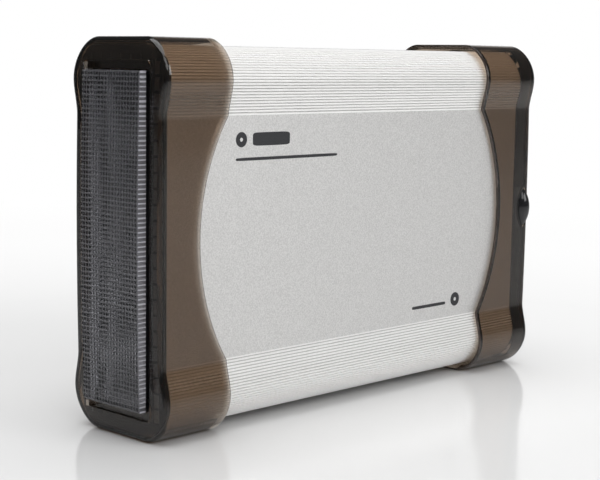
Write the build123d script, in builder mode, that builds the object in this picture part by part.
from build123d import *
from math import cos, pi, sin, sqrt
import os

os.makedirs("parts", exist_ok=True)

# An optical disc drive in its own upright housing: an aluminium sleeve closed by a
# smoked cap at each end. X is the thickness, Y the length with the door at -Y, and
# Z is up. The origin is the middle of the base, and all sizes are in millimetres.

# ---- Driving dimensions ------------------------------------------------------------
HEIGHT = 176.0             # the caps, standing on their narrow side
LENGTH = 270.0             # door face to rear face at half height
MID_Z = HEIGHT / 2
BOW_RADIUS = 2400.0        # both end faces are bowed over the height
FLAT_HALF_Z = 54.2         # the flat zone of each big face, either side of half height

CAP_FLAT_X = 29.7          # half thickness of a cap across its flats
CAP_LOBE_X = 32.7          # and across the lobes above and below them
CAP_WALL = 2.35
CAP_EDGE = 3.0             # rounding round each end face
SLEEVE_FLAT_X = 27.15
SLEEVE_LOBE_X = 29.9
SLEEVE_HALF_Z = 84.5
SLEEVE_WALL = 1.8
SLEEVE_FRONT_Y = -125.5
SLEEVE_REAR_Y = 122.0

DOOR_PROUD = 4.0           # how far the door stands out of the front cap
FRONT_Y = DOOR_PROUD - LENGTH / 2
REAR_Y = LENGTH / 2
FRONT_WALL_Y = -127.4      # inner faces of the two end walls
REAR_WALL_Y = 131.4
FRONT_RIM_Y = -91.5
REAR_RIM_Y = 90.5
RIM_ARC_DEPTH = 16.0       # the rims draw back in an arc across the flat zone

DOOR_HALF_X = 20.2
DOOR_HALF_Z = 73.5
DOOR_BACK_Y = -130.4
DOOR_GAP = 0.4
HINGE_X = -17.9
HINGE_Y = -132.4
HINGE_PIN_R = 0.7
RUNNING_GAP = 0.05         # radial clearance of a shaft in its bore

DRIVE_HALF_X = 20.6        # a half-height 5.25 inch drive: 41.3 x 146 x 170 mm
DRIVE_HALF_Z = 73.0
DRIVE_FRONT_Y = -114.5
DRIVE_REAR_Y = 55.0
BEZEL_DEPTH = 3.5
SHEET = 0.8                # steel sheet of the drive's covers

TRAY_LOW_X = 8.0           # the tray's front plate, from the drive's mid-plane
TRAY_HIGH_X = 19.5
TRAY_HALF_Z = 63.9
TRAY_BACK_Y = 46.0
DISC_Y = -42.5             # disc centre
DISC_R = 60.5

GEAR_MODULE = 1.0
TRAY_GEAR_TEETH = 24
PINION_TEETH = 12
SLED_GEAR_TEETH = 10
TRAY_GEAR_Y = -97.0
TRAY_GEAR_Z = 42.0
PULLEY_R = 13.0
MOTOR_PULLEY_R = 3.0
MOTOR_PULLEY_Y = -52.0
SLED_GEAR_Y = -5.0
SLED_GEAR_Z = 52.0
ROD_R = 1.5
ROD_X = 2.5
ROD_OFFSET_Z = 24.0

FAN_Z = MID_Z + 42.0
FAN_HALF = 20.0
FAN_SCREW = 16.0
PANEL_FRONT_Y = 131.2      # outer face of the rear panel
PANEL_BACK_Y = 128.6
BUTTON_X = 28.1            # release buttons, sunk in the rear corners
BUTTON_Y = 130.3
BUTTON_R = 4.5
BUTTON_HALF_Z = 11.2
CHANNEL_X = 16.5           # screw channels run along the sleeve's corners
CHANNEL_Z = 80.3
CHANNEL_R = 3.0
CAP_SCREW_R = 1.5


# ---- Planes and outlines -----------------------------------------------------------
def cross_plane(y):
    """Plane across the length at y: local x is X, local y is Z from half height, facing -Y."""
    return Plane(origin=(0, y, MID_Z), x_dir=(1, 0, 0), z_dir=(0, -1, 0))


def side_plane(x):
    """Plane across the thickness at x: local x is Y, local y is Z from the base, facing +X."""
    return Plane(origin=(x, 0, 0), x_dir=(0, 1, 0), z_dir=(1, 0, 0))


def shaft_plane(x, y, z):
    """Plane square to a shaft along X, with its origin on the shaft: local x is Y, local y is Z."""
    return Plane(origin=(x, y, z), x_dir=(0, 1, 0), z_dir=(1, 0, 0))


def level_plane(z):
    """Plane across the height at z: local x is X, local y is Y, facing +Z."""
    return Plane.XY.offset(z)


def lobed_section(flat_x, lobe_x, half_z):
    """Thickness-by-height outline: flat sides that swell into a lobe towards each narrow end."""
    with BuildSketch() as section:
        with BuildLine():
            side = Line((flat_x, 0), (flat_x, FLAT_HALF_Z))
            peak = (lobe_x, 0.80 * half_z)
            shoulder = (lobe_x - 5.0, 0.935 * half_z)
            crest = (0.55 * flat_x, half_z)
            lobe = Spline(side @ 1, peak, shoulder, crest, tangents=((0.1, 1), (-1, 0)))
            Line(lobe @ 1, (0, half_z))
            mirror(about=Plane.YZ)
            mirror(about=Plane.XZ)
        make_face()
    return section.sketch


def rim_cut(rim_y, towards):
    """Disc through the two ends of the flat zone that draws a cap's rim back in an arc."""
    radius = (FLAT_HALF_Z**2 + RIM_ARC_DEPTH**2) / (2 * RIM_ARC_DEPTH)
    centre_y = rim_y + towards * (RIM_ARC_DEPTH - radius)
    with BuildPart() as cutter:
        with BuildSketch(side_plane(0)):
            with Locations((centre_y, MID_Z)):
                Circle(radius)
        extrude(amount=CAP_LOBE_X + 5, both=True)
    return cutter.part


def bowed_blank(outer_y, towards):
    """Large round slab whose edge is an end face's gentle bow."""
    with BuildPart() as blank:
        with BuildSketch(side_plane(0)):
            with Locations((outer_y - towards * BOW_RADIUS, MID_Z)):
                Circle(BOW_RADIUS)
        extrude(amount=CAP_LOBE_X + 10, both=True)
    return blank.part


def gear_outline(teeth, phase=0.0):
    """Spur gear with plain tapered teeth; phase turns it, in radians, from local x."""
    pitch_r = GEAR_MODULE * teeth / 2
    step = 2 * pi / teeth
    corners = ((-0.25, -1.1), (-0.12, 0.8), (0.12, 0.8), (0.25, -1.1))
    points = []
    for tooth in range(teeth):
        for share, height in corners:
            angle = phase + step * (tooth + share)
            radius = pitch_r + GEAR_MODULE * height
            points.append((radius * cos(angle), radius * sin(angle)))
    return points


def rack_outline(first_y, count, pitch_z, out, back_z):
    """Straight rack along Y: teeth point to out (+1 or -1) from a back at back_z."""
    pitch = pi * GEAR_MODULE
    corners = ((-0.25, -1.1), (-0.12, 0.8), (0.12, 0.8), (0.25, -1.1))
    points = [(first_y - pitch / 2, back_z)]
    points.append((first_y - pitch / 2, pitch_z - out * 1.1 * GEAR_MODULE))
    for tooth in range(count):
        for share, height in corners:
            points.append((first_y + pitch * (tooth + share), pitch_z + out * height * GEAR_MODULE))
    last_y = first_y + pitch * (count - 0.5)
    points.append((last_y, pitch_z - out * 1.1 * GEAR_MODULE))
    points.append((last_y, back_z))
    return points


# ---- Housing: sleeve ---------------------------------------------------------------
with BuildPart() as sleeve:
    with BuildSketch(cross_plane(SLEEVE_FRONT_Y)):
        add(lobed_section(SLEEVE_FLAT_X, SLEEVE_LOBE_X, SLEEVE_HALF_Z))
        add(
            lobed_section(
                SLEEVE_FLAT_X - SLEEVE_WALL, SLEEVE_LOBE_X - SLEEVE_WALL, SLEEVE_HALF_Z - SLEEVE_WALL
            ),
            mode=Mode.SUBTRACT,
        )
        with GridLocations(2 * CHANNEL_X, 2 * CHANNEL_Z, 2, 2):
            Circle(CHANNEL_R)
        with GridLocations(2 * CHANNEL_X, 2 * CHANNEL_Z, 2, 2):
            Circle(CAP_SCREW_R, mode=Mode.SUBTRACT)
    extrude(amount=SLEEVE_FRONT_Y - SLEEVE_REAR_Y)
sleeve.part.label = "sleeve"
export_step(sleeve.part, "parts/sleeve.step")

# ---- Housing: front cap ------------------------------------------------------------
EAR_LOW_Z = DOOR_HALF_Z + 0.4
EAR_HIGH_Z = DOOR_HALF_Z + 3.4
RECESS_HALF_Z = 77.8
RECESS_FLOOR_Y = -129.0
RELIEF_WIDTH = 3.0

with BuildPart() as front_cap:
    with BuildSketch(cross_plane(FRONT_RIM_Y)):
        add(lobed_section(CAP_FLAT_X, CAP_LOBE_X, HEIGHT / 2))
    extrude(amount=FRONT_RIM_Y - FRONT_Y + 1)
    add(bowed_blank(FRONT_Y, -1), mode=Mode.INTERSECT)
    front_face = front_cap.faces().sort_by(Axis.Y)[0]
    fillet(front_face.edges(), radius=CAP_EDGE)
    with BuildSketch(cross_plane(FRONT_RIM_Y)):
        add(lobed_section(CAP_FLAT_X - CAP_WALL, CAP_LOBE_X - CAP_WALL, HEIGHT / 2 - CAP_WALL))
    extrude(amount=FRONT_RIM_Y - FRONT_WALL_Y, mode=Mode.SUBTRACT)
    add(rim_cut(FRONT_RIM_Y, -1), mode=Mode.SUBTRACT)
    # Shallow recess above and below the door, and a relief beside its hinge.
    with BuildSketch(cross_plane(RECESS_FLOOR_Y)):
        with Locations((1.0, 0)):
            Rectangle(2 * DOOR_HALF_X + 3.0, 2 * RECESS_HALF_Z)
        with Locations((-DOOR_HALF_X - RELIEF_WIDTH / 2, 0)):
            Rectangle(RELIEF_WIDTH, 2 * DOOR_HALF_Z + 1)
    extrude(amount=10, mode=Mode.SUBTRACT)
    # Opening for the door, the tray's way out.
    with BuildSketch(cross_plane(FRONT_WALL_Y + 1)):
        with Locations((-0.2, 0)):
            Rectangle(2 * DOOR_HALF_X + 1.2, 2 * (DOOR_HALF_Z + DOOR_GAP))
    extrude(amount=10, mode=Mode.SUBTRACT)
    # Ears that hold the two hinge pins.
    for side in (-1, 1):
        ear_z = MID_Z + side * (EAR_LOW_Z + EAR_HIGH_Z) / 2
        with BuildSketch(level_plane(ear_z)):
            with Locations((HINGE_X, HINGE_Y)):
                Circle(1.5)
            with Locations((HINGE_X, (HINGE_Y + FRONT_WALL_Y - 1) / 2)):
                Rectangle(3.0, FRONT_WALL_Y - 1 - HINGE_Y)
        extrude(amount=(EAR_HIGH_Z - EAR_LOW_Z) / 2, both=True)
        with BuildSketch(level_plane(ear_z)):
            with Locations((HINGE_X, HINGE_Y)):
                Circle(HINGE_PIN_R)
        extrude(amount=(EAR_HIGH_Z - EAR_LOW_Z) / 2, both=True, mode=Mode.SUBTRACT)
front_cap.part.label = "front_cap"
export_step(front_cap.part, "parts/front_cap.step")

# ---- Housing: rear cap -------------------------------------------------------------
REAR_OPENING_X = 20.0
REAR_OPENING_Z = 71.5
POCKET_TIP_R = 0.4         # a button's pocket ends in a small flat, not in a point

with BuildPart() as button_pocket:
    with BuildSketch(Plane(origin=(BUTTON_X, BUTTON_Y, MID_Z), x_dir=(1, 0, 0), z_dir=(0, -1, 0))):
        with BuildLine():
            tall = BUTTON_HALF_Z + 1.2
            wide = BUTTON_R + 0.8
            tip = (POCKET_TIP_R, tall)
            low_tip = (POCKET_TIP_R, -tall)
            Spline(low_tip, (0.75 * wide, -0.5 * tall), (wide, 0), (0.75 * wide, 0.5 * tall), tip)
            Polyline(tip, (0, tall), (0, -tall), low_tip)
        make_face()
    revolve(axis=Axis((BUTTON_X, BUTTON_Y, 0), (0, 0, 1)))

with BuildPart() as rear_cap:
    with BuildSketch(cross_plane(REAR_RIM_Y)):
        add(lobed_section(CAP_FLAT_X, CAP_LOBE_X, HEIGHT / 2))
    extrude(amount=REAR_RIM_Y - REAR_Y - 1)
    add(bowed_blank(REAR_Y, 1), mode=Mode.INTERSECT)
    rear_face = rear_cap.faces().sort_by(Axis.Y)[-1]
    fillet(rear_face.edges(), radius=CAP_EDGE)
    with BuildSketch(cross_plane(REAR_RIM_Y)):
        add(lobed_section(CAP_FLAT_X - CAP_WALL, CAP_LOBE_X - CAP_WALL, HEIGHT / 2 - CAP_WALL))
    extrude(amount=REAR_RIM_Y - REAR_WALL_Y, mode=Mode.SUBTRACT)
    add(rim_cut(REAR_RIM_Y, 1), mode=Mode.SUBTRACT)
    with BuildSketch(cross_plane(REAR_WALL_Y - 1)):
        RectangleRounded(2 * REAR_OPENING_X, 2 * REAR_OPENING_Z, 3.0)
    extrude(amount=-10, mode=Mode.SUBTRACT)
    with BuildSketch(cross_plane(REAR_WALL_Y - 1)):
        with GridLocations(2 * CHANNEL_X, 2 * CHANNEL_Z, 2, 2):
            Circle(CAP_SCREW_R + 0.3)
    extrude(amount=-10, mode=Mode.SUBTRACT)
    with BuildSketch(cross_plane(REAR_WALL_Y + 1.2)):
        with GridLocations(2 * CHANNEL_X, 2 * CHANNEL_Z, 2, 2):
            Circle(3.2)
    extrude(amount=-10, mode=Mode.SUBTRACT)
    add(button_pocket.part, mode=Mode.SUBTRACT)
    add(mirror(button_pocket.part, about=Plane.YZ, mode=Mode.PRIVATE), mode=Mode.SUBTRACT)
rear_cap.part.label = "rear_cap"
export_step(rear_cap.part, "parts/rear_cap.step")

# ---- Housing: cap screws -----------------------------------------------------------
with BuildPart() as rear_cap_screws:
    with BuildSketch(cross_plane(REAR_WALL_Y + 1.2)):
        with GridLocations(2 * CHANNEL_X, 2 * CHANNEL_Z, 2, 2):
            Circle(2.8)
    extrude(amount=-1.4)
    with BuildSketch(cross_plane(REAR_WALL_Y + 1.2)):
        with GridLocations(2 * CHANNEL_X, 2 * CHANNEL_Z, 2, 2):
            Circle(CAP_SCREW_R - 0.05)
    extrude(amount=22)
    with BuildSketch(cross_plane(REAR_WALL_Y + 2.0)):
        with GridLocations(2 * CHANNEL_X, 2 * CHANNEL_Z, 2, 2):
            Rectangle(3.4, 0.7)
            Rectangle(0.7, 3.4)
    extrude(amount=-2, mode=Mode.SUBTRACT)
rear_cap_screws.part.label = "rear_cap_screws"
export_step(rear_cap_screws.part, "parts/rear_cap_screws.step")

# ---- Housing: ribbed surrounds inside the two caps ---------------------------------
RIB_PITCH = 6.8
RIB_CELLS = 21
RIB_THICK = 1.2
SHROUD_GAP = 0.2           # between a shroud and the cap's end wall
COLLAR_BACK_Y = -117.0     # the collar reaches back towards the drive's bezel
COLLAR_HALF_X = 24.0
COLLAR_HALF_Z = 75.4
FLANGE_BACK_Y = -125.9     # the flange behind the cap's end wall
FLANGE_HALF_X = 26.4
FLANGE_HALF_Z = 74.0
FLANGE_NECK_X = 22.0
FLANGE_NECK_Z = 81.5
BAY_HALF_X = 20.9
BAY_HALF_Z = 73.9

with BuildPart() as bay_shroud:
    with BuildSketch(cross_plane(COLLAR_BACK_Y)):
        Rectangle(2 * COLLAR_HALF_X, 2 * COLLAR_HALF_Z)
    extrude(amount=COLLAR_BACK_Y - FRONT_WALL_Y - SHROUD_GAP)
    with BuildSketch(cross_plane(FLANGE_BACK_Y)):
        Rectangle(2 * FLANGE_HALF_X, 2 * FLANGE_HALF_Z)
        Rectangle(2 * FLANGE_NECK_X, 2 * FLANGE_NECK_Z)
    extrude(amount=FLANGE_BACK_Y - FRONT_WALL_Y - SHROUD_GAP)
    with BuildSketch(cross_plane(COLLAR_BACK_Y + 1)):
        Rectangle(2 * BAY_HALF_X, 2 * BAY_HALF_Z)
    extrude(amount=20, mode=Mode.SUBTRACT)
    # Pockets between the ribs, cut from behind.
    with BuildSketch(cross_plane(-124.0)):
        for side in (-1, 1):
            with Locations((side * COLLAR_HALF_X, 0)):
                with GridLocations(1, RIB_PITCH, 1, RIB_CELLS):
                    Rectangle(3.4, RIB_PITCH - RIB_THICK)
            with Locations((0, side * 78.8)):
                with GridLocations(RIB_PITCH, 1, 6, 1):
                    Rectangle(RIB_PITCH - RIB_THICK, 3.4)
    extrude(amount=10, mode=Mode.SUBTRACT)
bay_shroud.part.label = "bay_shroud"
export_step(bay_shroud.part, "parts/bay_shroud.step")

REAR_RING_X = (22.7, 26.6)
REAR_RING_Z = (73.9, 76.0)

with BuildPart() as rear_shroud:
    with BuildSketch(cross_plane(SLEEVE_REAR_Y + 0.3)):
        Rectangle(2 * REAR_RING_X[1], 2 * REAR_RING_Z[1])
        Rectangle(2 * REAR_RING_X[0], 2 * REAR_RING_Z[0], mode=Mode.SUBTRACT)
        Rectangle(2 * REAR_RING_X[1] + 1, 2 * (BUTTON_HALF_Z + 2.5), mode=Mode.SUBTRACT)
    extrude(amount=SLEEVE_REAR_Y + 0.5 - REAR_WALL_Y)
    with BuildSketch(cross_plane(SLEEVE_REAR_Y)):
        for side in (-1, 1):
            with Locations((side * 24.6, 0)):
                with GridLocations(1, RIB_PITCH, 1, RIB_CELLS):
                    Rectangle(2.2, RIB_PITCH - RIB_THICK)
    extrude(amount=-5, mode=Mode.SUBTRACT)
rear_shroud.part.label = "rear_shroud"
export_step(rear_shroud.part, "parts/rear_shroud.step")

# ---- Door and its hinge pins -------------------------------------------------------
with BuildPart() as door_panel:
    with BuildSketch(cross_plane(DOOR_BACK_Y)):
        Rectangle(2 * DOOR_HALF_X, 2 * DOOR_HALF_Z)
    extrude(amount=DOOR_BACK_Y + LENGTH / 2 + 1)
    add(bowed_blank(-LENGTH / 2, -1), mode=Mode.INTERSECT)
    upright = door_panel.edges().filter_by(Axis.Z)
    fillet(upright.sort_by(Axis.X)[0], radius=1.9)
    for side in (-1, 1):
        with BuildSketch(level_plane(MID_Z + side * DOOR_HALF_Z)):
            with Locations((HINGE_X, HINGE_Y)):
                Circle(HINGE_PIN_R + RUNNING_GAP)
        extrude(amount=-side * 5.0, mode=Mode.SUBTRACT)
door_panel.part.label = "door_panel"
export_step(door_panel.part, "parts/door_panel.step")

with BuildPart() as hinge_pins:
    for side in (-1, 1):
        with BuildSketch(level_plane(MID_Z + side * EAR_HIGH_Z)):
            with Locations((HINGE_X, HINGE_Y)):
                Circle(HINGE_PIN_R)
        extrude(amount=-side * (EAR_HIGH_Z - DOOR_HALF_Z + 4.5))
hinge_pins.part.label = "hinge_pins"
export_step(hinge_pins.part, "parts/hinge_pins.step")

# ---- Steel cradle that holds the drive and the bridge board ------------------------
CRADLE_X = -20.8
CRADLE_SHEET = 1.2
CRADLE_HALF_Z = 74.5
CRADLE_Y = (-108.0, 121.8)
DRIVE_SCREW_X = -10.6
DRIVE_SCREW_YS = (-61.0, 18.0)
DRIVE_SCREW_R = 1.5
BOARD_X = -17.5            # underside of the bridge board
BOARD_THICK = 1.6
BOARD_Y = (58.0, 124.0)
BOARD_Z = (MID_Z - 66.0, MID_Z + 14.0)
POST_YS = (64.0, 108.0)
POST_ZS = (MID_Z - 60.0, MID_Z + 8.0)
POST_SCREW_R = 1.2

with BuildPart() as cradle:
    with BuildSketch(cross_plane(CRADLE_Y[0])):
        with Locations((CRADLE_X - CRADLE_SHEET / 2, 0)):
            Rectangle(CRADLE_SHEET, 2 * CRADLE_HALF_Z)
        for side in (-1, 1):
            with Locations((CRADLE_X + 14.0, side * (CRADLE_HALF_Z - CRADLE_SHEET / 2))):
                Rectangle(28.0, CRADLE_SHEET)
    extrude(amount=CRADLE_Y[0] - CRADLE_Y[1])
    # Window under the drive, and feet that meet the sleeve.
    with BuildSketch(side_plane(CRADLE_X + 1)):
        with Locations((-30.0, MID_Z)):
            RectangleRounded(100.0, 110.0, 6.0)
    extrude(amount=-5, mode=Mode.SUBTRACT)
    with BuildSketch(side_plane(CRADLE_X - CRADLE_SHEET)):
        with Locations((10.0, MID_Z)):
            with GridLocations(190.0, 126.0, 2, 2):
                Circle(4.0)
    extrude(amount=-(SLEEVE_FLAT_X - SLEEVE_WALL + CRADLE_X - CRADLE_SHEET))
    # Holes for the drive's side screws.
    for screw_y in DRIVE_SCREW_YS:
        with BuildSketch(level_plane(MID_Z - 80)):
            with Locations((DRIVE_SCREW_X, screw_y)):
                Circle(DRIVE_SCREW_R + 0.1)
        extrude(amount=160, mode=Mode.SUBTRACT)
cradle.part.label = "cradle"
export_step(cradle.part, "parts/cradle.step")

with BuildPart() as drive_screws:
    for side in (-1, 1):
        for screw_y in DRIVE_SCREW_YS:
            with BuildSketch(level_plane(MID_Z + side * CRADLE_HALF_Z)):
                with Locations((DRIVE_SCREW_X, screw_y)):
                    Circle(2.9)
            extrude(amount=side * 1.6)
            with BuildSketch(level_plane(MID_Z + side * CRADLE_HALF_Z)):
                with Locations((DRIVE_SCREW_X, screw_y)):
                    Circle(DRIVE_SCREW_R)
            extrude(amount=-side * 4.0)
drive_screws.part.label = "drive_screws"
export_step(drive_screws.part, "parts/drive_screws.step")

# ---- Drive: steel covers and front bezel -------------------------------------------
COVER_SPLIT_X = -5.2
BEZEL_BACK_Y = DRIVE_FRONT_Y + BEZEL_DEPTH

with BuildPart() as drive_cover:
    with BuildSketch(cross_plane(BEZEL_BACK_Y)):
        with Locations((DRIVE_HALF_X - SHEET / 2, 0)):
            Rectangle(SHEET, 2 * DRIVE_HALF_Z)
        for side in (-1, 1):
            with Locations(((DRIVE_HALF_X + COVER_SPLIT_X) / 2, side * (DRIVE_HALF_Z - SHEET / 2))):
                Rectangle(DRIVE_HALF_X - COVER_SPLIT_X, SHEET)
    extrude(amount=BEZEL_BACK_Y - DRIVE_REAR_Y)
    # Rear wall down to the split.
    with BuildSketch(cross_plane(DRIVE_REAR_Y)):
        with Locations(((DRIVE_HALF_X + COVER_SPLIT_X) / 2, 0)):
            Rectangle(DRIVE_HALF_X - COVER_SPLIT_X, 2 * DRIVE_HALF_Z)
    extrude(amount=SHEET)
drive_cover.part.label = "drive_cover"
export_step(drive_cover.part, "parts/drive_cover.step")

SATA_Z = MID_Z - 34.0
SATA_HALF_Z = 18.0
SATA_X = (-17.3, -10.3)

with BuildPart() as drive_base:
    with BuildSketch(cross_plane(BEZEL_BACK_Y)):
        with Locations((-DRIVE_HALF_X + SHEET / 2, 0)):
            Rectangle(SHEET, 2 * DRIVE_HALF_Z)
        for side in (-1, 1):
            with Locations(((COVER_SPLIT_X - 0.2 - DRIVE_HALF_X) / 2, side * (DRIVE_HALF_Z - SHEET / 2))):
                Rectangle(COVER_SPLIT_X - 0.2 + DRIVE_HALF_X, SHEET)
    extrude(amount=BEZEL_BACK_Y - DRIVE_REAR_Y)
    with BuildSketch(cross_plane(DRIVE_REAR_Y)):
        with Locations(((COVER_SPLIT_X - 0.2 - DRIVE_HALF_X) / 2, 0)):
            Rectangle(COVER_SPLIT_X - 0.2 + DRIVE_HALF_X, 2 * DRIVE_HALF_Z)
        with Locations(((SATA_X[0] + SATA_X[1]) / 2, SATA_Z - MID_Z)):
            Rectangle(SATA_X[1] - SATA_X[0] + 0.6, 2 * SATA_HALF_Z + 0.6, mode=Mode.SUBTRACT)
    extrude(amount=SHEET)
    for screw_y in DRIVE_SCREW_YS:
        with BuildSketch(level_plane(MID_Z - 80)):
            with Locations((DRIVE_SCREW_X, screw_y)):
                Circle(DRIVE_SCREW_R + 0.1)
        extrude(amount=160, mode=Mode.SUBTRACT)
drive_base.part.label = "drive_base"
export_step(drive_base.part, "parts/drive_base.step")

EJECT_X = -11.0
EJECT_Z = MID_Z - 56.0
EJECT_SIZE = (4.5, 10.0)
LED_Z = MID_Z - 45.0
LED_R = 1.4
TRAY_PLATE_HALF_Z = 66.0

with BuildPart() as drive_bezel:
    with BuildSketch(cross_plane(BEZEL_BACK_Y)):
        Rectangle(2 * DRIVE_HALF_X, 2 * DRIVE_HALF_Z)
        with Locations(((TRAY_LOW_X + TRAY_HIGH_X) / 2, 0)):
            Rectangle(TRAY_HIGH_X - TRAY_LOW_X + 0.8, 2 * TRAY_PLATE_HALF_Z + 0.8, mode=Mode.SUBTRACT)
        with Locations((EJECT_X, EJECT_Z - MID_Z)):
            Rectangle(EJECT_SIZE[0] + 0.8, EJECT_SIZE[1] + 0.8, mode=Mode.SUBTRACT)
        with Locations((EJECT_X, LED_Z - MID_Z)):
            Circle(LED_R + 0.1, mode=Mode.SUBTRACT)
        with Locations((EJECT_X, LED_Z - MID_Z + 8)):
            Circle(0.7, mode=Mode.SUBTRACT)
    extrude(amount=BEZEL_DEPTH)
drive_bezel.part.label = "drive_bezel"
export_step(drive_bezel.part, "parts/drive_bezel.step")

with BuildPart() as eject_button:
    with BuildSketch(cross_plane(DRIVE_FRONT_Y + 8)):
        with Locations((EJECT_X, EJECT_Z - MID_Z)):
            RectangleRounded(EJECT_SIZE[0], EJECT_SIZE[1], 1.0)
    extrude(amount=9.2)
    fillet(eject_button.faces().sort_by(Axis.Y)[0].edges(), radius=0.4)
eject_button.part.label = "eject_button"
export_step(eject_button.part, "parts/eject_button.step")

with BuildPart() as activity_led:
    with BuildSketch(cross_plane(DRIVE_FRONT_Y + 7)):
        with Locations((EJECT_X, LED_Z - MID_Z)):
            Circle(LED_R)
    extrude(amount=7)
activity_led.part.label = "activity_led"
export_step(activity_led.part, "parts/activity_led.step")

# ---- Drive: tray -------------------------------------------------------------------
TRAY_X = 10.0              # underside of the tray
TRAY_TOP_X = 14.4
DISC_FLOOR_X = 12.0
HUB_SLOT_HALF = 13.0
TRAY_FRONT_Y = DRIVE_FRONT_Y + 2.9

with BuildPart() as tray:
    with BuildSketch(side_plane(TRAY_X)):
        with Locations(((TRAY_FRONT_Y + TRAY_BACK_Y) / 2, MID_Z)):
            Rectangle(TRAY_BACK_Y - TRAY_FRONT_Y, 2 * TRAY_HALF_Z)
    extrude(amount=TRAY_TOP_X - TRAY_X)
    with BuildSketch(side_plane(DISC_FLOOR_X)):
        with Locations((DISC_Y, MID_Z)):
            Circle(DISC_R)
    extrude(amount=5, mode=Mode.SUBTRACT)
    with BuildSketch(side_plane(DISC_FLOOR_X - 0.8)):
        with Locations((DISC_Y, MID_Z)):
            Circle(40.3)
    extrude(amount=5, mode=Mode.SUBTRACT)
    with BuildSketch(side_plane(TRAY_X - 1)):
        with Locations((DISC_Y, MID_Z)):
            Circle(HUB_SLOT_HALF)
        with Locations(((DISC_Y + TRAY_BACK_Y) / 2 + 1, MID_Z)):
            Rectangle(TRAY_BACK_Y - DISC_Y + 2, 2 * HUB_SLOT_HALF)
    extrude(amount=10, mode=Mode.SUBTRACT)
tray.part.label = "tray"
export_step(tray.part, "parts/tray.step")

with BuildPart() as tray_bezel:
    with BuildSketch(cross_plane(TRAY_FRONT_Y)):
        with Locations(((TRAY_LOW_X + TRAY_HIGH_X) / 2, 0)):
            RectangleRounded(TRAY_HIGH_X - TRAY_LOW_X, 2 * TRAY_PLATE_HALF_Z, 1.0)
    extrude(amount=TRAY_FRONT_Y - DRIVE_FRONT_Y)
    fillet(tray_bezel.faces().sort_by(Axis.Y)[0].edges(), radius=0.6)
tray_bezel.part.label = "tray_bezel"
export_step(tray_bezel.part, "parts/tray_bezel.step")

TRAY_GEAR_R = GEAR_MODULE * TRAY_GEAR_TEETH / 2
PINION_R = GEAR_MODULE * PINION_TEETH / 2
TRAY_RACK_TEETH = 47
TRAY_RACK_Z = TRAY_GEAR_Z - TRAY_GEAR_R
GEAR_X = (7.8, 9.5)

with BuildPart() as tray_rack:
    with BuildSketch(side_plane(GEAR_X[0])):
        with BuildLine():
            first = TRAY_GEAR_Y - pi * GEAR_MODULE * 1.5
            Polyline(rack_outline(first, TRAY_RACK_TEETH, TRAY_RACK_Z, 1, TRAY_RACK_Z - 3.0), close=True)
        make_face()
    extrude(amount=TRAY_X - GEAR_X[0])
tray_rack.part.label = "tray_rack"
export_step(tray_rack.part, "parts/tray_rack.step")

# ---- Drive: loader frame, gears, belt and motor ------------------------------------
FRAME_X = (-6.0, -4.0)
POST_R = 1.5
PINION_Y = TRAY_GEAR_Y + TRAY_GEAR_R + PINION_R
FRAME_FRONT_Y = -110.0
FRAME_BACK_Y = 50.0
WINDOW_HALF_Z = 31.0
WINDOW_Y = (-84.0, 36.0)

with BuildPart() as loader_frame:
    with BuildSketch(side_plane(FRAME_X[0])):
        with Locations(((FRAME_FRONT_Y + FRAME_BACK_Y) / 2, MID_Z)):
            Rectangle(FRAME_BACK_Y - FRAME_FRONT_Y, 2 * 71.5)
        with Locations(((WINDOW_Y[0] + WINDOW_Y[1]) / 2, MID_Z)):
            Rectangle(WINDOW_Y[1] - WINDOW_Y[0], 2 * WINDOW_HALF_Z, mode=Mode.SUBTRACT)
        with Locations((MOTOR_PULLEY_Y, TRAY_GEAR_Z), (SLED_GEAR_Y, SLED_GEAR_Z)):
            Circle(1.6, mode=Mode.SUBTRACT)
    extrude(amount=FRAME_X[1] - FRAME_X[0])
    # Rails either side of the tray.
    with BuildSketch(side_plane(FRAME_X[1])):
        for side in (-1, 1):
            with Locations(((FRAME_FRONT_Y + FRAME_BACK_Y) / 2, MID_Z + side * 65.2)):
                Rectangle(FRAME_BACK_Y - FRAME_FRONT_Y, 1.6)
    extrude(amount=15.0 - FRAME_X[1])
    with BuildSketch(side_plane(FRAME_X[1])):
        with Locations((TRAY_GEAR_Y, TRAY_GEAR_Z), (PINION_Y, TRAY_GEAR_Z)):
            Circle(POST_R)
    extrude(amount=GEAR_X[1] - FRAME_X[1])
loader_frame.part.label = "loader_frame"
export_step(loader_frame.part, "parts/loader_frame.step")

with BuildPart() as tray_gear:
    with BuildSketch(shaft_plane(GEAR_X[0], TRAY_GEAR_Y, TRAY_GEAR_Z)):
        with BuildLine():
            Polyline(gear_outline(TRAY_GEAR_TEETH, -pi / 2), close=True)
        make_face()
        Circle(POST_R + RUNNING_GAP, mode=Mode.SUBTRACT)
    extrude(amount=GEAR_X[1] - GEAR_X[0])
tray_gear.part.label = "tray_gear"
export_step(tray_gear.part, "parts/tray_gear.step")

PULLEY_X = (3.0, 5.6)
BELT_R = 0.6
PINION_PHASE = pi + pi / PINION_TEETH      # a gap faces the tray gear's tooth

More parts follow.
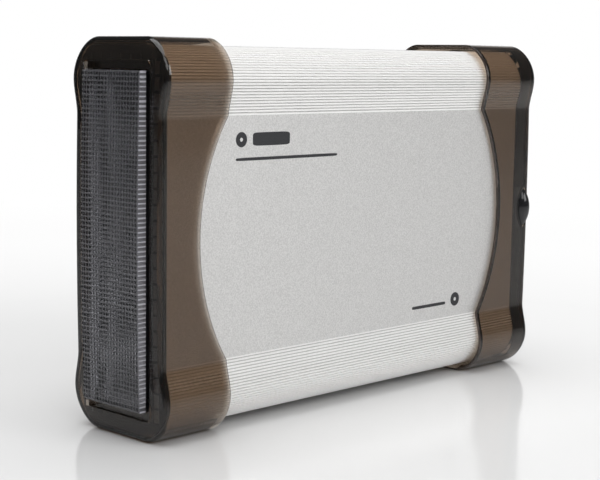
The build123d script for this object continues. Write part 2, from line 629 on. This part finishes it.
with BuildPart() as belt_pulley:
    with BuildSketch(shaft_plane(GEAR_X[0], PINION_Y, TRAY_GEAR_Z)):
        with BuildLine():
            Polyline(gear_outline(PINION_TEETH, PINION_PHASE), close=True)
        make_face()
    extrude(amount=GEAR_X[1] - GEAR_X[0])
    with BuildSketch(side_plane(PULLEY_X[0])):
        with Locations((PINION_Y, TRAY_GEAR_Z)):
            Circle(PULLEY_R)
    extrude(amount=PULLEY_X[1] - PULLEY_X[0])
    with BuildSketch(side_plane(PULLEY_X[1])):
        with Locations((PINION_Y, TRAY_GEAR_Z)):
            Circle(4.0)
    extrude(amount=GEAR_X[0] - PULLEY_X[1])
    with BuildSketch(side_plane(PULLEY_X[0])):
        with Locations((PINION_Y, TRAY_GEAR_Z)):
            Circle(POST_R + RUNNING_GAP)
    extrude(amount=GEAR_X[1] - PULLEY_X[0], mode=Mode.SUBTRACT)
belt_pulley.part.label = "belt_pulley"
export_step(belt_pulley.part, "parts/belt_pulley.step")

with BuildPart() as motor_pulley:
    with BuildSketch(side_plane(PULLEY_X[0])):
        with Locations((MOTOR_PULLEY_Y, TRAY_GEAR_Z)):
            Circle(MOTOR_PULLEY_R)
    extrude(amount=PULLEY_X[1] - PULLEY_X[0])
    with BuildSketch(side_plane(FRAME_X[0])):
        with Locations((MOTOR_PULLEY_Y, TRAY_GEAR_Z)):
            Circle(1.0)
    extrude(amount=PULLEY_X[0] - FRAME_X[0])
motor_pulley.part.label = "motor_pulley"
export_step(motor_pulley.part, "parts/motor_pulley.step")

# The belt runs round both pulleys, tangent to each.
BELT_GAP = 0.3
BELT_SPAN = MOTOR_PULLEY_Y - PINION_Y
BELT_LEAN = (PULLEY_R - MOTOR_PULLEY_R) / BELT_SPAN


def belt_loop(clearance):
    """Closed outline of two tangent arcs and two straight runs, at a clearance off the pulleys."""
    big = PULLEY_R + clearance
    small = MOTOR_PULLEY_R + clearance
    rise = sqrt(1 - BELT_LEAN**2)
    big_top = (PINION_Y + big * BELT_LEAN, TRAY_GEAR_Z + big * rise)
    small_top = (MOTOR_PULLEY_Y + small * BELT_LEAN, TRAY_GEAR_Z + small * rise)
    small_low = (small_top[0], TRAY_GEAR_Z - small * rise)
    big_low = (big_top[0], TRAY_GEAR_Z - big * rise)
    with BuildSketch() as loop:
        with BuildLine():
            Line(big_top, small_top)
            ThreePointArc(small_top, (MOTOR_PULLEY_Y + small, TRAY_GEAR_Z), small_low)
            Line(small_low, big_low)
            ThreePointArc(big_low, (PINION_Y - big, TRAY_GEAR_Z), big_top)
        make_face()
    return loop.sketch


with BuildPart() as loading_belt:
    with BuildSketch(side_plane(PULLEY_X[0] + 0.7)):
        add(belt_loop(BELT_GAP + 2 * BELT_R))
        add(belt_loop(BELT_GAP), mode=Mode.SUBTRACT)
    extrude(amount=2 * BELT_R)
loading_belt.part.label = "loading_belt"
export_step(loading_belt.part, "parts/loading_belt.step")


MOTOR_LOW_X = -16.5


def motor_can(name, y, z, radius):
    """Small round motor hung under the loader frame."""
    with BuildPart() as can:
        with BuildSketch(side_plane(MOTOR_LOW_X)):
            with Locations((y, z)):
                Circle(radius)
        extrude(amount=FRAME_X[0] - 0.2 - MOTOR_LOW_X)
        fillet(can.faces().sort_by(Axis.X)[0].edges(), radius=1.0)
    can.part.label = name
    export_step(can.part, f"parts/{name}.step")


motor_can("loading_motor", MOTOR_PULLEY_Y, TRAY_GEAR_Z, 10.0)
motor_can("sled_motor", SLED_GEAR_Y, SLED_GEAR_Z, 8.0)

# ---- Drive: traverse, spindle and clamp --------------------------------------------
CHASSIS_X = (-3.0, -1.4)
ROD_Y = (-30.0, 31.0)

with BuildPart() as traverse_chassis:
    with BuildSketch(side_plane(CHASSIS_X[0])):
        with Locations((-23.0, MID_Z)):
            Rectangle(112.0, 2 * 30.0)
        with Locations((3.5, MID_Z)):
            Rectangle(51.0, 2 * 20.0, mode=Mode.SUBTRACT)
        with Locations((DISC_Y, MID_Z)):
            Circle(13.2, mode=Mode.SUBTRACT)
    extrude(amount=CHASSIS_X[1] - CHASSIS_X[0])
    # Four blocks that carry the rods' ends.
    with BuildSketch(side_plane(CHASSIS_X[1])):
        for rod_end in (ROD_Y[0] + 1, ROD_Y[1] - 1):
            for side in (-1, 1):
                with Locations((rod_end, MID_Z + side * ROD_OFFSET_Z)):
                    Rectangle(2.0, 6.0)
    extrude(amount=ROD_X - ROD_R - CHASSIS_X[1])
traverse_chassis.part.label = "traverse_chassis"
export_step(traverse_chassis.part, "parts/traverse_chassis.step")

with BuildPart() as guide_rods:
    with BuildSketch(Plane(origin=(ROD_X, ROD_Y[0], MID_Z), x_dir=(1, 0, 0), z_dir=(0, 1, 0))):
        with GridLocations(1, 2 * ROD_OFFSET_Z, 1, 2):
            Circle(ROD_R)
    extrude(amount=ROD_Y[1] - ROD_Y[0])
guide_rods.part.label = "guide_rods"
export_step(guide_rods.part, "parts/guide_rods.step")

with BuildPart() as spindle_motor:
    with BuildSketch(side_plane(-5.0)):
        with Locations((DISC_Y, MID_Z)):
            Circle(13.0)
    extrude(amount=8.0)
    with BuildSketch(side_plane(-5.0)):
        with Locations((DISC_Y, MID_Z)):
            Circle(1.5 + RUNNING_GAP)
    extrude(amount=8.0, mode=Mode.SUBTRACT)
spindle_motor.part.label = "spindle_motor"
export_step(spindle_motor.part, "parts/spindle_motor.step")

with BuildPart() as turntable:
    with BuildSketch(side_plane(-4.5)):
        with Locations((DISC_Y, MID_Z)):
            Circle(1.5)
    extrude(amount=8.0)
    with BuildSketch(side_plane(3.4)):
        with Locations((DISC_Y, MID_Z)):
            Circle(12.0)
    extrude(amount=7.9)
    with BuildSketch(side_plane(11.3)):
        with Locations((DISC_Y, MID_Z)):
            Circle(7.4)
    extrude(amount=2.6, taper=18)
turntable.part.label = "turntable"
export_step(turntable.part, "parts/turntable.step")

CLAMP_X = 14.9
BRIDGE_X = (17.6, 18.4)

with BuildPart() as disc_clamp:
    for low_x, high_x, radius in ((CLAMP_X, 17.2, 14.0), (17.2, 18.8, 8.8), (18.8, 19.4, 11.0)):
        with BuildSketch(side_plane(low_x)):
            with Locations((DISC_Y, MID_Z)):
                Circle(radius)
        extrude(amount=high_x - low_x)
disc_clamp.part.label = "disc_clamp"
export_step(disc_clamp.part, "parts/disc_clamp.step")

with BuildPart() as clamp_bridge:
    with BuildSketch(side_plane(BRIDGE_X[0])):
        with Locations((DISC_Y, MID_Z)):
            Rectangle(34.0, 2 * 70.0)
            Circle(9.1, mode=Mode.SUBTRACT)
    extrude(amount=BRIDGE_X[1] - BRIDGE_X[0])
clamp_bridge.part.label = "clamp_bridge"
export_step(clamp_bridge.part, "parts/clamp_bridge.step")

# ---- Drive: laser sled -------------------------------------------------------------
SLED_X = (-0.6, 6.0)
SLED_Y = (-27.0, -7.0)
SLED_HALF_Z = 28.0
LENS_Y = DISC_Y + 24.0
SLED_GEAR_R = GEAR_MODULE * SLED_GEAR_TEETH / 2
SLED_RACK_Z = SLED_GEAR_Z + SLED_GEAR_R
SLED_RACK_TEETH = 13
RACK_X = (1.2, 3.8)

with BuildPart() as laser_sled:
    with BuildSketch(side_plane(SLED_X[0])):
        with Locations(((SLED_Y[0] + SLED_Y[1]) / 2, MID_Z)):
            RectangleRounded(SLED_Y[1] - SLED_Y[0], 2 * SLED_HALF_Z, 2.0)
    extrude(amount=SLED_X[1] - SLED_X[0])
    with BuildSketch(cross_plane(SLED_Y[0] - 1)):
        with GridLocations(1, 2 * ROD_OFFSET_Z, 1, 2):
            with Locations((ROD_X, 0)):
                Circle(ROD_R + RUNNING_GAP)
    extrude(amount=-(SLED_Y[1] - SLED_Y[0] + 2), mode=Mode.SUBTRACT)
    with BuildSketch(side_plane(SLED_X[1])):
        with Locations((LENS_Y, MID_Z)):
            Rectangle(11.0, 14.0)
    extrude(amount=1.4)
laser_sled.part.label = "laser_sled"
export_step(laser_sled.part, "parts/laser_sled.step")

with BuildPart() as laser_lens:
    with BuildSketch(side_plane(SLED_X[1] + 1.4)):
        with Locations((LENS_Y, MID_Z)):
            Circle(2.8)
    extrude(amount=1.4)
    fillet(laser_lens.faces().sort_by(Axis.X)[-1].edges(), radius=0.9)
laser_lens.part.label = "laser_lens"
export_step(laser_lens.part, "parts/laser_lens.step")

with BuildPart() as sled_rack:
    with BuildSketch(side_plane(RACK_X[0])):
        with BuildLine():
            last = SLED_GEAR_Y + pi * GEAR_MODULE * 1.5
            first = last - pi * GEAR_MODULE * SLED_RACK_TEETH
            Polyline(
                rack_outline(first, SLED_RACK_TEETH, SLED_RACK_Z, -1, MID_Z - SLED_HALF_Z), close=True
            )
        make_face()
    extrude(amount=RACK_X[1] - RACK_X[0])
sled_rack.part.label = "sled_rack"
export_step(sled_rack.part, "parts/sled_rack.step")

with BuildPart() as sled_gear:
    with BuildSketch(shaft_plane(RACK_X[0], SLED_GEAR_Y, SLED_GEAR_Z)):
        with BuildLine():
            Polyline(gear_outline(SLED_GEAR_TEETH, pi / 2), close=True)
        make_face()
    extrude(amount=RACK_X[1] - RACK_X[0])
    with BuildSketch(side_plane(FRAME_X[0])):
        with Locations((SLED_GEAR_Y, SLED_GEAR_Z)):
            Circle(1.0)
    extrude(amount=RACK_X[0] - FRAME_X[0])
sled_gear.part.label = "sled_gear"
export_step(sled_gear.part, "parts/sled_gear.step")

# ---- Drive: circuit board ----------------------------------------------------------
PCB_X = (-18.9, -17.3)

with BuildPart() as drive_pcb:
    with BuildSketch(side_plane(PCB_X[0])):
        with Locations((-4.0, MID_Z)):
            Rectangle(112.0, 2 * 62.0)
    extrude(amount=PCB_X[1] - PCB_X[0])
drive_pcb.part.label = "drive_pcb"
export_step(drive_pcb.part, "parts/drive_pcb.step")

with BuildPart() as drive_chips:
    for chip_y, chip_z, long_side, wide_side in (
        (20.0, MID_Z + 20.0, 20.0, 20.0),
        (24.0, MID_Z - 4.0, 12.0, 8.0),
        (-14.0, MID_Z + 34.0, 14.0, 9.0),
        (-40.0, MID_Z + 10.0, 9.0, 9.0),
    ):
        with BuildSketch(side_plane(PCB_X[1])):
            with Locations((chip_y, chip_z)):
                Rectangle(long_side, wide_side)
        extrude(amount=1.2)
drive_chips.part.label = "drive_chips"
export_step(drive_chips.part, "parts/drive_chips.step")

with BuildPart() as sata_connector:
    with BuildSketch(cross_plane(DRIVE_REAR_Y - 9.0)):
        with Locations(((SATA_X[0] + SATA_X[1]) / 2, SATA_Z - MID_Z)):
            Rectangle(SATA_X[1] - SATA_X[0], 2 * SATA_HALF_Z)
    extrude(amount=-9.0)
    with BuildSketch(cross_plane(DRIVE_REAR_Y - 5.0)):
        with Locations(((SATA_X[0] + SATA_X[1]) / 2, SATA_Z - MID_Z)):
            Rectangle(3.0, 2 * SATA_HALF_Z - 2.4)
    extrude(amount=-6.0, mode=Mode.SUBTRACT)
sata_connector.part.label = "sata_connector"
export_step(sata_connector.part, "parts/sata_connector.step")

# ---- Bridge board and its sockets --------------------------------------------------
BOARD_TOP_X = BOARD_X + BOARD_THICK

with BuildPart() as bridge_board:
    with BuildSketch(side_plane(BOARD_X)):
        with Locations(((BOARD_Y[0] + BOARD_Y[1]) / 2, (BOARD_Z[0] + BOARD_Z[1]) / 2)):
            Rectangle(BOARD_Y[1] - BOARD_Y[0], BOARD_Z[1] - BOARD_Z[0])
        for post_y in POST_YS:
            for post_z in POST_ZS:
                with Locations((post_y, post_z)):
                    Circle(POST_SCREW_R + 0.1, mode=Mode.SUBTRACT)
    extrude(amount=BOARD_THICK)
bridge_board.part.label = "bridge_board"
export_step(bridge_board.part, "parts/bridge_board.step")

with BuildPart() as board_posts:
    for post_y in POST_YS:
        for post_z in POST_ZS:
            with BuildSketch(side_plane(CRADLE_X)):
                with Locations((post_y, post_z)):
                    RegularPolygon(2.8, 6)
                    Circle(POST_SCREW_R + 0.1, mode=Mode.SUBTRACT)
            extrude(amount=BOARD_X - CRADLE_X)
board_posts.part.label = "board_posts"
export_step(board_posts.part, "parts/board_posts.step")

with BuildPart() as board_screws:
    for post_y in POST_YS:
        for post_z in POST_ZS:
            with BuildSketch(side_plane(BOARD_TOP_X)):
                with Locations((post_y, post_z)):
                    Circle(2.4)
            extrude(amount=1.5)
            with BuildSketch(side_plane(BOARD_TOP_X)):
                with Locations((post_y, post_z)):
                    Circle(POST_SCREW_R)
            extrude(amount=-4.4)
board_screws.part.label = "board_screws"
export_step(board_screws.part, "parts/board_screws.step")

with BuildPart() as bridge_chips:
    for chip_y, chip_z, long_side, wide_side in (
        (92.0, MID_Z - 30.0, 12.0, 12.0),
        (86.0, MID_Z - 52.0, 8.0, 6.0),
        (80.0, MID_Z - 8.0, 7.0, 6.0),
    ):
        with BuildSketch(side_plane(BOARD_TOP_X)):
            with Locations((chip_y, chip_z)):
                Rectangle(long_side, wide_side)
        extrude(amount=1.2)
    for capacitor_y, capacitor_z in ((100.0, MID_Z - 8.0), (72.0, MID_Z - 52.0)):
        with BuildSketch(side_plane(BOARD_TOP_X)):
            with Locations((capacitor_y, capacitor_z)):
                Circle(3.2)
        extrude(amount=7.5)
bridge_chips.part.label = "bridge_chips"
export_step(bridge_chips.part, "parts/bridge_chips.step")

with BuildPart() as board_sata_plug:
    with BuildSketch(cross_plane(DRIVE_REAR_Y + 0.2)):
        with Locations((BOARD_TOP_X + 3.2, SATA_Z - MID_Z)):
            Rectangle(6.4, 2 * SATA_HALF_Z + 2.0)
    extrude(amount=-12.0)
    with BuildSketch(cross_plane(DRIVE_REAR_Y + 0.2)):
        with Locations(((SATA_X[0] + SATA_X[1]) / 2, SATA_Z - MID_Z)):
            Rectangle(2.4, 2 * SATA_HALF_Z - 3.4)
    extrude(amount=4.0)
board_sata_plug.part.label = "board_sata_plug"
export_step(board_sata_plug.part, "parts/board_sata_plug.step")

JACK_Z = MID_Z - 58.0
USB_Z = MID_Z - 36.0
ESATA_Z = MID_Z - 14.0
SWITCH_Z = MID_Z + 8.0
SOCKET_MOUTH_Y = PANEL_FRONT_Y
USB_SIZE = (11.0, 12.0)
USB_MOUTH = (7.9, 8.5)
USB_X = BOARD_TOP_X + USB_SIZE[0] / 2
ESATA_SIZE = (7.0, 16.0)
ESATA_MOUTH = (4.4, 12.0)
ESATA_X = BOARD_TOP_X + ESATA_SIZE[0] / 2
JACK_SIZE = (11.0, 9.0)
JACK_X = BOARD_TOP_X + JACK_SIZE[0] / 2
JACK_R = 3.15
SOCKET_DEPTH = 9.0
SOCKET_LENGTH = 16.0


def board_socket(name, centre, size, mouth, tongue):
    """Shell on the board's rear edge with a mouth at the panel and a tongue inside it."""
    with BuildPart() as socket:
        with BuildSketch(cross_plane(SOCKET_MOUTH_Y - SOCKET_LENGTH)):
            with Locations(centre):
                Rectangle(*size)
        extrude(amount=-SOCKET_LENGTH)
        with BuildSketch(cross_plane(SOCKET_MOUTH_Y)):
            with Locations(centre):
                Rectangle(*mouth)
                Rectangle(*tongue, mode=Mode.SUBTRACT)
        extrude(amount=SOCKET_DEPTH, mode=Mode.SUBTRACT)
    socket.part.label = name
    export_step(socket.part, f"parts/{name}.step")


board_socket("usb_socket", (USB_X, USB_Z - MID_Z), USB_SIZE, USB_MOUTH, (3.2, 5.6))
board_socket("esata_socket", (ESATA_X, ESATA_Z - MID_Z), ESATA_SIZE, ESATA_MOUTH, (1.2, 10.0))

with BuildPart() as dc_jack:
    with BuildSketch(cross_plane(SOCKET_MOUTH_Y - SOCKET_LENGTH)):
        with Locations((JACK_X, JACK_Z - MID_Z)):
            Rectangle(*JACK_SIZE)
    extrude(amount=-SOCKET_LENGTH)
    with BuildSketch(cross_plane(SOCKET_MOUTH_Y)):
        with Locations((JACK_X, JACK_Z - MID_Z)):
            Circle(JACK_R)
            Circle(1.0, mode=Mode.SUBTRACT)
    extrude(amount=SOCKET_DEPTH, mode=Mode.SUBTRACT)
dc_jack.part.label = "dc_jack"
export_step(dc_jack.part, "parts/dc_jack.step")

# ---- Power switch ------------------------------------------------------------------
SWITCH_X = -7.6
SWITCH_SIZE = (11.0, 17.0)
ROCKER_SIZE = (8.0, 12.4)
ROCKER_PIVOT_Y = 128.4

with BuildPart() as switch_housing:
    with BuildSketch(cross_plane(PANEL_FRONT_Y - 14.0)):
        with Locations((SWITCH_X, SWITCH_Z - MID_Z)):
            Rectangle(*SWITCH_SIZE)
    extrude(amount=-14.0)
    with BuildSketch(cross_plane(PANEL_FRONT_Y)):
        with Locations((SWITCH_X, SWITCH_Z - MID_Z)):
            Rectangle(SWITCH_SIZE[0] + 2.6, SWITCH_SIZE[1] + 3.0)
    extrude(amount=-1.0)
    with BuildSketch(cross_plane(PANEL_FRONT_Y + 2.0)):
        with Locations((SWITCH_X, SWITCH_Z - MID_Z)):
            Rectangle(ROCKER_SIZE[0] + 0.7, ROCKER_SIZE[1] + 1.8)
    extrude(amount=9.0, mode=Mode.SUBTRACT)
switch_housing.part.label = "switch_housing"
export_step(switch_housing.part, "parts/switch_housing.step")

with BuildPart() as switch_rocker:
    with BuildSketch(shaft_plane(SWITCH_X - ROCKER_SIZE[0] / 2, ROCKER_PIVOT_Y, SWITCH_Z)):
        with BuildLine():
            half = ROCKER_SIZE[1] / 2
            Polyline((4.6, half), (0.6, half - 0.3), (-1.6, 0), (0.6, 0.3 - half), (4.6, -half))
            ThreePointArc((4.6, -half), (3.4, 0), (4.6, half))
        make_face()
    extrude(amount=ROCKER_SIZE[0])
switch_rocker.part.label = "switch_rocker"
export_step(switch_rocker.part, "parts/switch_rocker.step")

# ---- Fan ---------------------------------------------------------------------------
FAN_DEPTH = 10.0
FAN_FRONT_Y = PANEL_BACK_Y - FAN_DEPTH
FAN_BORE_R = 18.6
ROTOR_R = 18.0
HUB_R = 9.0
BLADES = 7


def fan_plane(y):
    """Plane across the fan's axis at y, centred on it."""
    return Plane(origin=(0, y, FAN_Z), x_dir=(1, 0, 0), z_dir=(0, -1, 0))


with BuildPart() as fan_frame:
    with BuildSketch(fan_plane(FAN_FRONT_Y)):
        RectangleRounded(2 * FAN_HALF, 2 * FAN_HALF, 3.0)
        Circle(FAN_BORE_R, mode=Mode.SUBTRACT)
        with GridLocations(2 * FAN_SCREW, 2 * FAN_SCREW, 2, 2):
            Circle(1.8, mode=Mode.SUBTRACT)
    extrude(amount=-FAN_DEPTH)
    # Three arms carry the motor's base at the inner side.
    with BuildSketch(fan_plane(FAN_FRONT_Y)):
        Circle(9.5)
        with PolarLocations(14.0, 3, 90):
            Rectangle(9.8, 2.2)
    extrude(amount=-1.6)
    with BuildSketch(fan_plane(FAN_FRONT_Y + 1.6)):
        Circle(1.0)
    extrude(amount=-4.0)
fan_frame.part.label = "fan_frame"
export_step(fan_frame.part, "parts/fan_frame.step")

with BuildPart() as fan_rotor:
    with BuildSketch(fan_plane(FAN_FRONT_Y + 2.1)):
        Circle(HUB_R)
    extrude(amount=-7.2)
    for blade in range(BLADES):
        turn = 360 * blade / BLADES
        root = Plane(origin=(0, FAN_FRONT_Y + 5.7, FAN_Z)) * Rotation(0, turn, 0)
        blade_plane = Plane(root * Rotation(0, 90, 0) * Rotation(0, 0, 40) * Location((0, 0, HUB_R - 1)))
        with BuildSketch(blade_plane):
            Rectangle(9.0, 0.9)
        extrude(amount=ROTOR_R - HUB_R + 0.6)
    with BuildSketch(fan_plane(FAN_FRONT_Y)):
        Circle(1.0 + RUNNING_GAP)
    extrude(amount=-6.0, mode=Mode.SUBTRACT)
fan_rotor.part.label = "fan_rotor"
export_step(fan_rotor.part, "parts/fan_rotor.step")

with BuildPart() as fan_grille:
    with BuildSketch(fan_plane(PANEL_FRONT_Y - 0.4)):
        for ring_r in (5.0, 9.4, 13.8, 18.2):
            Circle(ring_r + 0.6)
            Circle(ring_r - 0.6, mode=Mode.SUBTRACT)
    extrude(amount=1.2)
    with BuildSketch(fan_plane(PANEL_FRONT_Y - 1.6)):
        with PolarLocations(11.2, 4, 45):
            Rectangle(13.6, 1.4)
    extrude(amount=-1.2)
fan_grille.part.label = "fan_grille"
export_step(fan_grille.part, "parts/fan_grille.step")

# ---- Rear panel --------------------------------------------------------------------
PANEL_HALF_X = 21.9
PANEL_HALF_Z = 73.6

with BuildPart() as rear_panel:
    with BuildSketch(cross_plane(PANEL_BACK_Y)):
        Rectangle(2 * PANEL_HALF_X, 2 * PANEL_HALF_Z)
        with Locations((USB_X, USB_Z - MID_Z)):
            Rectangle(USB_SIZE[0] + 0.4, USB_SIZE[1] + 0.4, mode=Mode.SUBTRACT)
        with Locations((ESATA_X, ESATA_Z - MID_Z)):
            Rectangle(ESATA_SIZE[0] + 0.4, ESATA_SIZE[1] + 0.4, mode=Mode.SUBTRACT)
        with Locations((JACK_X, JACK_Z - MID_Z)):
            Rectangle(JACK_SIZE[0] + 0.4, JACK_SIZE[1] + 0.4, mode=Mode.SUBTRACT)
        with Locations((SWITCH_X, SWITCH_Z - MID_Z)):
            Rectangle(SWITCH_SIZE[0] + 0.2, SWITCH_SIZE[1] + 0.2, mode=Mode.SUBTRACT)
        with Locations((0, FAN_Z - MID_Z)):
            Circle(FAN_BORE_R + 0.3, mode=Mode.SUBTRACT)
            with GridLocations(2 * FAN_SCREW, 2 * FAN_SCREW, 2, 2):
                Circle(1.8, mode=Mode.SUBTRACT)
        with Locations((10.0, -34.0)):
            with GridLocations(1, 4.4, 1, 12):
                SlotOverall(12.0, 1.8, mode=Mode.SUBTRACT)
    extrude(amount=PANEL_BACK_Y - PANEL_FRONT_Y)
rear_panel.part.label = "rear_panel"
export_step(rear_panel.part, "parts/rear_panel.step")

with BuildPart() as fan_screws:
    with BuildSketch(fan_plane(PANEL_FRONT_Y)):
        with GridLocations(2 * FAN_SCREW, 2 * FAN_SCREW, 2, 2):
            Circle(2.9)
    extrude(amount=-1.6)
    with BuildSketch(fan_plane(PANEL_FRONT_Y)):
        with GridLocations(2 * FAN_SCREW, 2 * FAN_SCREW, 2, 2):
            Circle(1.6)
    extrude(amount=11.0)
    with BuildSketch(fan_plane(PANEL_FRONT_Y + 0.7)):
        with GridLocations(2 * FAN_SCREW, 2 * FAN_SCREW, 2, 2):
            Rectangle(3.6, 0.7)
            Rectangle(0.7, 3.6)
    extrude(amount=-2.0, mode=Mode.SUBTRACT)
fan_screws.part.label = "fan_screws"
export_step(fan_screws.part, "parts/fan_screws.step")

# ---- Release buttons ---------------------------------------------------------------
for name, side in (("release_button_near", 1), ("release_button_far", -1)):
    button_x = side * BUTTON_X
    with BuildPart() as release_button:
        with BuildSketch(Plane(origin=(button_x, BUTTON_Y, MID_Z), x_dir=(1, 0, 0), z_dir=(0, -1, 0))):
            with BuildLine():
                tall = BUTTON_HALF_Z
                wide = BUTTON_R
                Spline((0, -tall), (0.75 * wide, -0.5 * tall), (wide, 0), (0.75 * wide, 0.5 * tall), (0, tall))
                Line((0, tall), (0, -tall))
            make_face()
        revolve(axis=Axis((button_x, BUTTON_Y, 0), (0, 0, 1)))
    release_button.part.label = name
    export_step(release_button.part, f"parts/{name}.step")
